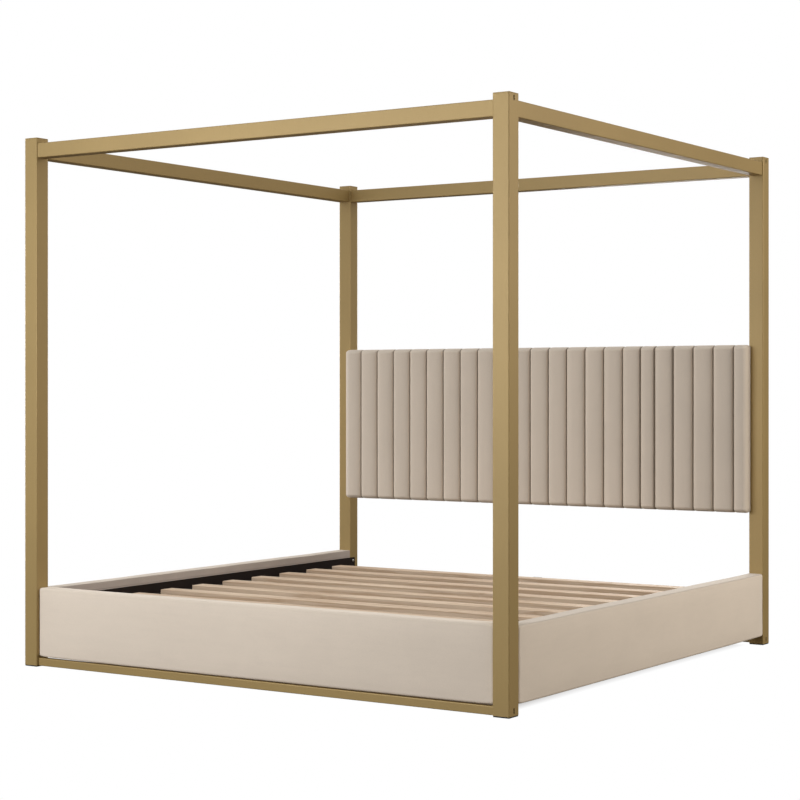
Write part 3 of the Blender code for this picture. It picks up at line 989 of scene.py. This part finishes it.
def panel_mesh(name, pad, board, outward, crown, radii, reach, sag, seed):
    """The padded cover of one panel: a crowned, rounded form with a pocket for its board.

    The pad and board are boxes. The outward axis is 0 or 1, with a sign for its direction. The
    front of each end reaches that much further than the pad's box, to close up to the post.
    """
    axis, sign = outward
    low, high = np.array(pad[0]), np.array(pad[1])
    board_low, board_high = np.array(board[0]), np.array(board[1])
    other = 1 - axis
    gap = BOARD_GAP
    back = low[axis] if sign > 0 else high[axis]
    depth_of_pocket = board_high[axis] - board_low[axis] + gap

    lines = [None, None, None]
    for at in (other, 2):
        inner_low, inner_high = board_low[at] - gap, board_high[at] + gap
        close = 0.0022
        first = edge_steps(low[at], inner_low, 0.004, close, 0.4 * (inner_low - low[at]))
        last = edge_steps(
            inner_high, high[at], 0.004, close, 0.4 * (high[at] - inner_high)
        )
        middle = edge_steps(inner_low + 0.0003, inner_high - 0.0003, 0.008, 0.003, 0.018)
        lines[at] = first + middle + last
    lines[axis] = edge_steps(low[axis], high[axis], 0.005, 0.0022, 0.02)
    places, faces = block_skin(*lines)

    pocket = board_pocket(places, axis, back, board_low, board_high)
    from_back = np.abs(places[:, axis] - back)
    half_long = (high[other] - low[other]) / 2
    half_tall = (high[2] - low[2]) / 2
    long_share = np.abs(places[:, other] - (high[other] + low[other]) / 2) / half_long
    radius = radii[0] + (radii[1] - radii[0]) * smooth_share(long_share, 0.97, 0.995)
    own_radius = 0.004 + (radius - 0.004) * smooth_share(from_back, 0.008, 0.024)
    shaped, normal = rounded(places, low, high, own_radius)

    tall_share = np.abs(places[:, 2] - (high[2] + low[2]) / 2) / half_tall
    fullness = (1.0 - long_share**8) * (1.0 - tall_share**4)
    facing = np.clip(normal[:, axis] * sign, 0.0, 1.0)
    soft = ripple(shaped, (9.0, 9.0, 14.0), seed)
    tight = ripple(shaped, (55.0, 55.0, 30.0), seed + 1)
    near_end = smooth_share(long_share, 0.93, 0.995)
    raise_by = crown * fullness + 0.0009 * soft * fullness
    raise_by += 0.0007 * tight * near_end * (1.0 - tall_share**6)
    shaped[:, axis] += sign * facing * raise_by
    under = np.clip(-normal[:, 2], 0.0, 1.0)
    off_ends = 1.0 - long_share**10
    shaped[:, 2] -= under * sag * off_ends * smooth_share(from_back, 0.002, 0.02)
    lid = np.clip(normal[:, 2], 0.0, 1.0)
    shaped[:, 2] += lid * (0.0012 * soft - 0.0012) * off_ends
    if reach:
        away = places[:, other] - (high[other] + low[other]) / 2
        near_tip = smooth_share(np.abs(away), half_long - 0.016, half_long)
        near_face = smooth_share(from_back, 0.042, 0.048)
        shaped[:, other] += np.sign(away) * reach * near_tip * near_face
    shaped[pocket] = places[pocket]
    shaped[pocket, axis] += sign * depth_of_pocket
    shaped[~pocket & (from_back < 1e-6), axis] = back
    held = (from_back < 0.022) | (long_share > 0.985) | (tall_share > 0.9)
    return mesh_of(name, shaped, faces), held


def board_pocket(places, axis, back, board_low, board_high):
    """Which points of a cover's back lie over its board."""
    pocket = np.abs(places[:, axis] - back) < 1e-6
    for at in range(3):
        if at != axis:
            pocket &= places[:, at] > board_low[at] - BOARD_GAP + 0.0001
            pocket &= places[:, at] < board_high[at] + BOARD_GAP - 0.0001
    return pocket


def line_inside(cover, lining, outward):
    """Gives the faces of a cover that look away from the outside the darker lining cloth, a real
    cloth whose colour is painted shade.
    """
    axis, sign = outward
    cover.data.materials.append(lining)
    for face in cover.data.polygons:
        if face.normal[axis] * sign < -0.7:
            face.material_index = 1


class BED_OT_panels(bpy.types.Operator):
    """Upholsters the foot panel and the two side panels in velvet"""

    bl_idname = "bed.panels"
    bl_label = "Velvet panels"

    def execute(self, context):
        settings = context.scene.bed_upholstery
        nap = (9.0, 9.0, 60.0)
        # painted light and shade: each part's velvet is a lighter or darker copy, and darker where
        # it looks up
        foot_velvet = bed_velvet(context, "velvet_foot_panel", nap, 1.0, 0.15)
        side_velvet = bed_velvet(context, "velvet_side_panels", nap, 1.03, 0.5)
        lining = lining_cloth_painted_shade("panel_lining", tuple(settings.lining))
        rows = [("foot", "foot_pad", "foot_board", (1, -1.0))]
        for side, sign in SIDES.items():
            rows.append((side, f"{side}_side_pad", f"{side}_side_board", (0, sign)))
        for number, (side, pad, board, outward) in enumerate(rows):
            mesh, held = panel_mesh(
                f"{side}_panel_cover",
                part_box(pad),
                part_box(board),
                outward,
                settings.crown,
                (settings.edge_radius, settings.end_radius),
                settings.foot_reach if side == "foot" else 0.0,
                settings.sag,
                SEED + 10 * number,
            )
            velvet = foot_velvet if side == "foot" else side_velvet
            cover = add_piece(mesh.name, mesh, velvet, [pad])
            line_inside(cover, lining, outward)
            let_swell(cover, held, settings.fullness, settings.swell)
        return {"FINISHED"}


def bed_velvet(context, name, nap_scale, painted_light_tone, painted_top_shade):
    """The bed's velvet made lighter or darker by a factor, as painted light or shade on that part
    of the bed, with its nap brushed along one axis.
    """
    colour = shade(tuple(context.scene.bed_upholstery.velvet), painted_light_tone)
    return cream_velvet(name, colour, nap_scale, painted_top_shade)


def seam_places(settings, low, high):
    """Where the headboard's seams are, from its left end to its right end."""
    places = [low, settings.first_seam]
    for number in range(40):
        away = abs(number - settings.narrow_after)
        step = settings.pitch
        if away == 0:
            step = settings.narrow_width
        elif away == 1:
            step = settings.beside_width
        if places[-1] + step > high - 0.03:
            break
        places.append(places[-1] + step)
    return places + [high]


class BED_OT_headboard(bpy.types.Operator):
    """Upholsters the headboard in velvet, sewn into upright channels"""

    bl_idname = "bed.headboard"
    bl_label = "Channelled headboard"

    def execute(self, context):
        settings = context.scene.bed_upholstery
        nap = (70.0, 12.0, 6.0)
        # painted shade: the headboard's velvet is a darker copy of the bed's velvet
        velvet = bed_velvet(context, "velvet_headboard", nap, 0.88, 0.1)
        # painted shade in the seams: a much darker copy of the velvet
        painted_seam_shade = bed_velvet(context, "velvet_in_seams", nap, 0.5, 0.0)
        low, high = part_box("headboard_pad")
        board_low, board_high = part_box("headboard_board")
        seams = seam_places(settings, low.x, high.x)
        gap = BOARD_GAP

        xs = []
        for start, end in zip(seams, seams[1:]):
            width = end - start
            xs += [start + width * at for at in CHANNEL_LINES]
        xs.append(seams[-1])
        board_lines = [board_low.x - gap, board_low.x - gap + 0.0003]
        board_lines += [board_high.x + gap - 0.0003, board_high.x + gap]
        xs = [x for x in xs if min(abs(x - line) for line in board_lines) > 0.0008]
        xs = sorted(xs + board_lines)
        under, over = board_low.z - gap, board_high.z + gap
        zs = edge_steps(low.z, under, 0.003, 0.002, 0.006)
        zs += edge_steps(under + 0.0003, over - 0.0003, 0.009, 0.003, 0.03)
        zs += edge_steps(over, high.z, 0.003, 0.002, 0.006)
        ys = edge_steps(low.y, high.y, 0.004, 0.0025, 0.02)
        places, faces = block_skin(xs, ys, zs)

        pocket = board_pocket(places, 1, high.y, board_low, board_high)

        depth = settings.seam_depth
        rise = settings.notch
        seam_box_low = np.array([low.x + settings.end_inset, low.y + depth, low.z + rise])
        seam_box_high = np.array([high.x - 0.001, high.y, high.z - rise])
        share = (places - np.array(low)) / (np.array(high) - np.array(low))
        start = seam_box_low + share * (seam_box_high - seam_box_low)
        start[:, 0] = np.clip(places[:, 0], seam_box_low[0], seam_box_high[0])
        from_back = high.y - places[:, 1]
        radius = 0.004 + 0.008 * smooth_share(from_back, 0.010, 0.028)
        shaped, normal = rounded(start, seam_box_low, seam_box_high, radius)

        starts = np.array(seams[:-1])
        index = np.searchsorted(starts, places[:, 0], "right") - 1
        index = np.clip(index, 0, len(starts) - 1)
        widths = np.array([b - a for a, b in zip(seams, seams[1:])])
        across = (places[:, 0] - starts[index]) / widths[index]
        lean = 2.0 * across - 1.0
        last = index == len(starts) - 1
        peak = 0.78
        falling = (across - peak) / (1.0 - peak)
        last_lean = np.where(across < peak, across / peak - 1.0, falling)
        lean = np.where(last, last_lean, lean)
        last &= lean > 0.0
        arc = np.maximum(1.0 - np.abs(lean) ** 3.4, 0.0) ** 0.5
        crease = np.maximum(1.0 - np.abs(lean) ** 13, 0.0) ** 0.5
        profile = 0.6 * arc + 0.4 * crease
        first = (index == 0) & (lean < 0.0)
        round_end = np.maximum(1.0 - np.abs(lean) ** 2.0, 0.0) ** 0.5
        full_end = np.maximum(1.0 - np.abs(lean) ** 4.0, 0.0) ** 0.5
        profile = np.where(first, round_end, profile)
        profile = np.where(last, full_end, profile)
        soft = ripple(shaped, (14.0, 8.0, 9.0), SEED + 90)
        pucker = ripple(shaped, (20.0, 20.0, 260.0), SEED + 91)
        near_seam = np.exp(-(((1.0 - np.abs(lean)) / 0.16) ** 2))
        swell = depth * profile + 0.0008 * soft * profile
        swell += 0.0006 * pucker * near_seam * profile
        front = smooth_share(from_back, 0.004, 0.030)
        facing_front = np.clip(-normal[:, 1], 0.0, 1.0)
        notch = np.maximum(1.0 - np.abs(lean) ** 14, 0.0) ** 0.5
        shaped[:, 1] -= facing_front * swell
        shaped[:, 2] += normal[:, 2] * rise * notch * front
        shaped[pocket] = places[pocket]
        shaped[pocket, 1] = board_low.y - gap
        mesh = mesh_of("headboard_cover", shaped, faces)
        cover = add_piece(
            mesh.name, mesh, velvet, ["headboard_pad"]
        )
        lining = lining_cloth_painted_shade("headboard_lining", tuple(settings.lining))
        line_inside(cover, lining, (1, -1.0))
        cover.data.materials.append(painted_seam_shade)
        # Faces just beside each inner seam take the darker copy of the velvet: painted shade in the
        # creases.
        inner_seams = np.array(seams[1:-1])
        for face in cover.data.polygons:
            x, y, z = face.center
            past = x - inner_seams[np.argmin(np.abs(inner_seams - x))]
            if -0.0040 < past < 0.0009 and y < board_low.y - 0.002:
                face.material_index = 2
        return {"FINISHED"}


class BED_OT_stage(bpy.types.Operator):
    """Sets up the pale floor, the soft light and the camera"""

    bl_idname = "bed.stage"
    bl_label = "Stage"

    def execute(self, context):
        settings = context.scene.bed_stage
        scene = context.scene
        scene.view_settings.view_transform = "Standard"
        self.add_floor(scene)
        self.add_sky(scene)
        self.add_lights(scene, settings)
        self.add_camera(scene, settings)
        return {"FINISHED"}

    def add_floor(self, scene):
        """A plain pale floor that ends in a pale round backdrop, and takes no part in the light."""
        floor = self.stage_piece(scene, "floor", shaded=True)
        shape = bmesh.new()
        bmesh.ops.create_grid(shape, x_segments=2, y_segments=2, size=60.0)
        shape.to_mesh(floor.data)
        shape.free()
        floor.location.z = -0.0005
        backdrop = self.stage_piece(scene, "backdrop", shaded=False)
        shape = bmesh.new()
        bmesh.ops.create_uvsphere(shape, u_segments=48, v_segments=24, radius=58.0)
        shape.to_mesh(backdrop.data)
        shape.free()

    def stage_piece(self, scene, name, shaded):
        """An empty white stage piece, which the camera sees but which lights nothing.

        A shaded one is dark under the bed, where no light reaches.
        """
        shader = Shader(name + "_white")
        glow = (1.0, 1.0, 1.0)
        if shaded:
            under_width = shader.span(shader.axis("X").size(), 0.88, 1.0, 1.0, 0.0)
            under_length = shader.span(shader.axis("Y").size(), 0.95, 1.0, 1.0, 0.0)
            under_foot = shader.span(shader.axis("Y"), -0.86, -0.45, 1.0, 0.0)
            shadow = shader.mix(under_foot, (0.44, 0.43, 0.42), (0.11, 0.085, 0.065))
            glow = shader.mix(under_width * under_length, glow, shadow)
        shader.surface(
            Base_Color=(0.0, 0.0, 0.0),
            Roughness=1.0,
            Specular_IOR_Level=0.0,
            Emission_Color=glow,
            Emission_Strength=1.0,
        )
        mesh = bpy.data.meshes.new(name)
        mesh.materials.append(shader.material)
        piece = bpy.data.objects.new(name, mesh)
        scene.collection.objects.link(piece)
        piece.visible_diffuse = False
        piece.visible_glossy = False
        piece.visible_transmission = False
        piece.visible_shadow = False
        return piece

    def add_sky(self, scene):
        """Light from all round: most from above, and a little warm light off the floor."""
        sky = Shader("studio", is_sky=True)
        scene.world = sky.material
        way = sky.node("ShaderNodeTexCoord", output="Generated")
        height = sky.node("ShaderNodeSeparateXYZ", values={"Vector": way}, output="Z")
        off_floor = (0.10, 0.085, 0.065)
        colour = sky.ramp(
            sky.span(height, -1.0, 1.0),
            [(0.0, off_floor), (0.47, off_floor), (0.53, (0.18, 0.175, 0.17)), (1.0, 0.80)],
        )
        background = sky.node("ShaderNodeBackground", values={"Color": colour})
        sky.node("ShaderNodeOutputWorld", values={"Surface": background})

    def add_lights(self, scene, settings):
        """Four large soft lights: in front, at the left, at the right and behind."""
        rows = (
            ("front_light", (-1.5, -4.9, 1.8), (0.0, 0.0, 0.9), settings.front, (0.96, 0.98, 1.0)),
            ("left_light", (-8.0, 0.0, 1.2), (0.0, 0.9, 0.9), settings.left, (1.0, 0.99, 0.97)),
            ("right_light", (5.4, 1.8, 2.3), (0.0, 0.0, 0.8), settings.right, (1.0, 0.95, 0.87)),
            ("back_light", (-1.5, 7.5, 2.0), (0.0, 0.0, 0.9), settings.back, (1.0, 0.98, 0.95)),
        )
        for name, place, target, power, colour in rows:
            data = bpy.data.lights.new(name, "AREA")
            data.shape = "RECTANGLE"
            data.size = 3.2
            data.size_y = 2.4
            data.energy = power
            data.color = colour
            light = bpy.data.objects.new(name, data)
            scene.collection.objects.link(light)
            light.location = place
            light.visible_camera = False
            aim = Vector(target) - light.location
            light.rotation_euler = aim.to_track_quat("-Z", "Y").to_euler()

    def add_camera(self, scene, settings):
        """The level camera at the right front corner."""
        data = bpy.data.cameras.new("camera")
        data.lens = settings.lens
        data.sensor_width = 36.0
        data.shift_y = settings.drop
        data.clip_end = 300.0
        camera = bpy.data.objects.new("camera", data)
        scene.collection.objects.link(camera)
        camera.location = settings.camera_place
        camera.rotation_euler = (math.radians(90.0), 0.0, settings.camera_turn)
        scene.camera = camera


# ------------------------------------------------------------------------- panel


OPERATORS = (
    BED_OT_stage,
    BED_OT_gold_frame,
    BED_OT_black_metalwork,
    BED_OT_small_fittings,
    BED_OT_slats,
    BED_OT_boards,
    BED_OT_panels,
    BED_OT_headboard,
    BED_OT_fixings,
)
SETTINGS = {
    "bed_frame": BedFrameSettings,
    "bed_wood": BedWoodSettings,
    "bed_upholstery": BedUpholsterySettings,
    "bed_stage": BedStageSettings,
}


class BED_PT_finishes(bpy.types.Panel):
    """Lists the bed's pieces and their settings"""

    bl_label = "Canopy Bed"
    bl_idname = "BED_PT_finishes"
    bl_space_type = "VIEW_3D"
    bl_region_type = "UI"
    bl_category = "Canopy Bed"

    def draw(self, context):
        layout = self.layout
        for name, group in SETTINGS.items():
            box = layout.box()
            box.label(text=group.__doc__)
            for setting in group.__annotations__:
                box.prop(getattr(context.scene, name), setting)
        column = layout.column()
        for operator in OPERATORS:
            column.operator(operator.bl_idname)


def register():
    """Adds the settings, operators and panel to Blender."""
    for group in SETTINGS.values():
        bpy.utils.register_class(group)
    for operator in OPERATORS:
        bpy.utils.register_class(operator)
    bpy.utils.register_class(BED_PT_finishes)
    for name, group in SETTINGS.items():
        setattr(bpy.types.Scene, name, bpy.props.PointerProperty(type=group))


def unregister():
    """Takes them out again."""
    for name in SETTINGS:
        delattr(bpy.types.Scene, name)
    bpy.utils.unregister_class(BED_PT_finishes)
    for operator in reversed(OPERATORS):
        bpy.utils.unregister_class(operator)
    for group in reversed(SETTINGS.values()):
        bpy.utils.unregister_class(group)


def main():
    """Finishes the whole bed."""
    register()
    for operator in OPERATORS:
        family, action = operator.bl_idname.split(".")
        getattr(getattr(bpy.ops, family), action)()


if __name__ == "__main__":
    main()
